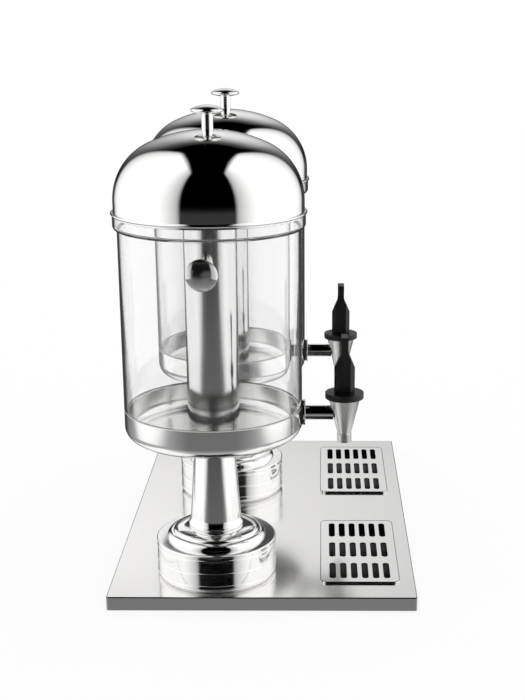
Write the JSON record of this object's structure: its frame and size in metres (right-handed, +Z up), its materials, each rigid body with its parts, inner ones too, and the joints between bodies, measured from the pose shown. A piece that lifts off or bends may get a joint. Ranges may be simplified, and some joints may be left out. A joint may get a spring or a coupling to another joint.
{
  "type": "juice dispenser",
  "caption": "Buffet juice dispenser: clear tanks with domed steel lids and ice tubes on pedestals, lever taps and slotted drip trays on a flat steel base.",
  "frame": {"origin": "on the table, under the middle of the overall outline, which the left lid carries past the base plate", "axes": "+X along the row of tanks to the right as seen from the taps, -Y the way the taps point, +Z up"},
  "size_m": [0.5994, 0.36, 0.5686],
  "materials": {
    "polished_steel": "mirror-polished stainless steel",
    "satin_steel": "satin stainless steel sheet",
    "plain_steel": "plain machined stainless steel",
    "clear_plastic": "clear polycarbonate",
    "black_plastic": "satin black moulded plastic",
    "silicone": "translucent white food-grade silicone",
    "rubber": "black rubber"
  },
  "bodies": {
    "stand": {"base_shell": "satin_steel", "base_plate": "satin_steel", "rubber_pads": "rubber", "tie_rods": "plain_steel", "tie_rod_nuts": "plain_steel", "tie_rod_washers": "plain_steel", "cup_spacers": "plain_steel", "tap_nuts": "polished_steel", "left_foot_drum": "polished_steel", "left_foot_cap": "polished_steel", "left_column": "polished_steel", "left_cup": "polished_steel", "left_floor_pan": "polished_steel", "left_tank_seal": "silicone", "left_tank": "clear_plastic", "left_tap_body": "polished_steel", "left_tap_flange": "polished_steel", "left_tap_outer_seal": "rubber", "left_tap_inner_seal": "silicone", "left_tap_bonnet": "black_plastic", "left_valve_spring": "plain_steel", "right_foot_drum": "polished_steel", "right_foot_cap": "polished_steel", "right_column": "polished_steel", "right_cup": "polished_steel", "right_floor_pan": "polished_steel", "right_tank_seal": "silicone", "right_tank": "clear_plastic", "right_tap_body": "polished_steel", "right_tap_flange": "polished_steel", "right_tap_outer_seal": "rubber", "right_tap_inner_seal": "silicone", "right_tap_bonnet": "black_plastic", "right_valve_spring": "plain_steel"},
    "left_ice_tube": {"left_ice_tube": "polished_steel", "left_tube_knob": "polished_steel", "left_tube_knob_screw": "plain_steel"},
    "left_lid": {"left_lid_dome": "polished_steel", "left_lid_knob": "polished_steel", "left_lid_knob_screw": "plain_steel"},
    "left_handle": {"left_tap_handle": "black_plastic"},
    "left_valve": {"left_valve_stem": "plain_steel", "left_handle_pin": "plain_steel", "left_valve_seat": "silicone"},
    "left_tray": {"left_drip_tray": "black_plastic"},
    "left_grille": {"left_drip_grille": "satin_steel"},
    "right_ice_tube": {"right_ice_tube": "polished_steel", "right_tube_knob": "polished_steel", "right_tube_knob_screw": "plain_steel"},
    "right_lid": {"right_lid_dome": "polished_steel", "right_lid_knob": "polished_steel", "right_lid_knob_screw": "plain_steel"},
    "right_handle": {"right_tap_handle": "black_plastic"},
    "right_valve": {"right_valve_stem": "plain_steel", "right_handle_pin": "plain_steel", "right_valve_seat": "silicone"},
    "right_tray": {"right_drip_tray": "black_plastic"},
    "right_grille": {"right_drip_grille": "satin_steel"}
  },
  "joints": [
    {"name": "left_tube_lift", "type": "slide", "parent": "stand", "child": "left_ice_tube", "axis": [0, 0, 1], "range_m": [0, 0.265]},
    {"name": "left_lid_lift", "type": "slide", "parent": "left_ice_tube", "child": "left_lid", "axis": [0, 0, 1], "range_m": [0, 0.12]},
    {"name": "left_handle_tilt", "type": "hinge", "parent": "stand", "child": "left_handle", "pos_m": [-0.1903, -0.1071, 0.2429], "axis": [1, 0, 0], "range_deg": [0, 22], "stiffness_Nm_per_rad": 0.06, "springref_deg": -16.04},
    {"name": "left_valve_lift", "type": "slide", "parent": "stand", "child": "left_valve", "axis": [0, 0, 1], "range_m": [0, 0.0056], "deforming": ["left_valve_spring"]},
    {"name": "left_tray_lift", "type": "slide", "parent": "stand", "child": "left_tray", "axis": [0, 0, 1], "range_m": [0, 0.05]},
    {"name": "left_grille_lift", "type": "slide", "parent": "left_tray", "child": "left_grille", "axis": [0, 0, 1], "range_m": [0, 0.03]},
    {"name": "right_tube_lift", "type": "slide", "parent": "stand", "child": "right_ice_tube", "axis": [0, 0, 1], "range_m": [0, 0.265]},
    {"name": "right_lid_lift", "type": "slide", "parent": "right_ice_tube", "child": "right_lid", "axis": [0, 0, 1], "range_m": [0, 0.12]},
    {"name": "right_handle_tilt", "type": "hinge", "parent": "stand", "child": "right_handle", "pos_m": [0.0957, -0.1071, 0.2429], "axis": [1, 0, 0], "range_deg": [0, 22], "stiffness_Nm_per_rad": 0.06, "springref_deg": -16.04},
    {"name": "right_valve_lift", "type": "slide", "parent": "stand", "child": "right_valve", "axis": [0, 0, 1], "range_m": [0, 0.0056], "deforming": ["right_valve_spring"]},
    {"name": "right_tray_lift", "type": "slide", "parent": "stand", "child": "right_tray", "axis": [0, 0, 1], "range_m": [0, 0.05]},
    {"name": "right_grille_lift", "type": "slide", "parent": "right_tray", "child": "right_grille", "axis": [0, 0, 1], "range_m": [0, 0.03]}
  ],
  "couplings": [
    {"joint": "left_valve_lift", "follows": "left_handle_tilt", "m_per_rad": 0.014363},
    {"joint": "right_valve_lift", "follows": "right_handle_tilt", "m_per_rad": 0.014363}
  ]
}
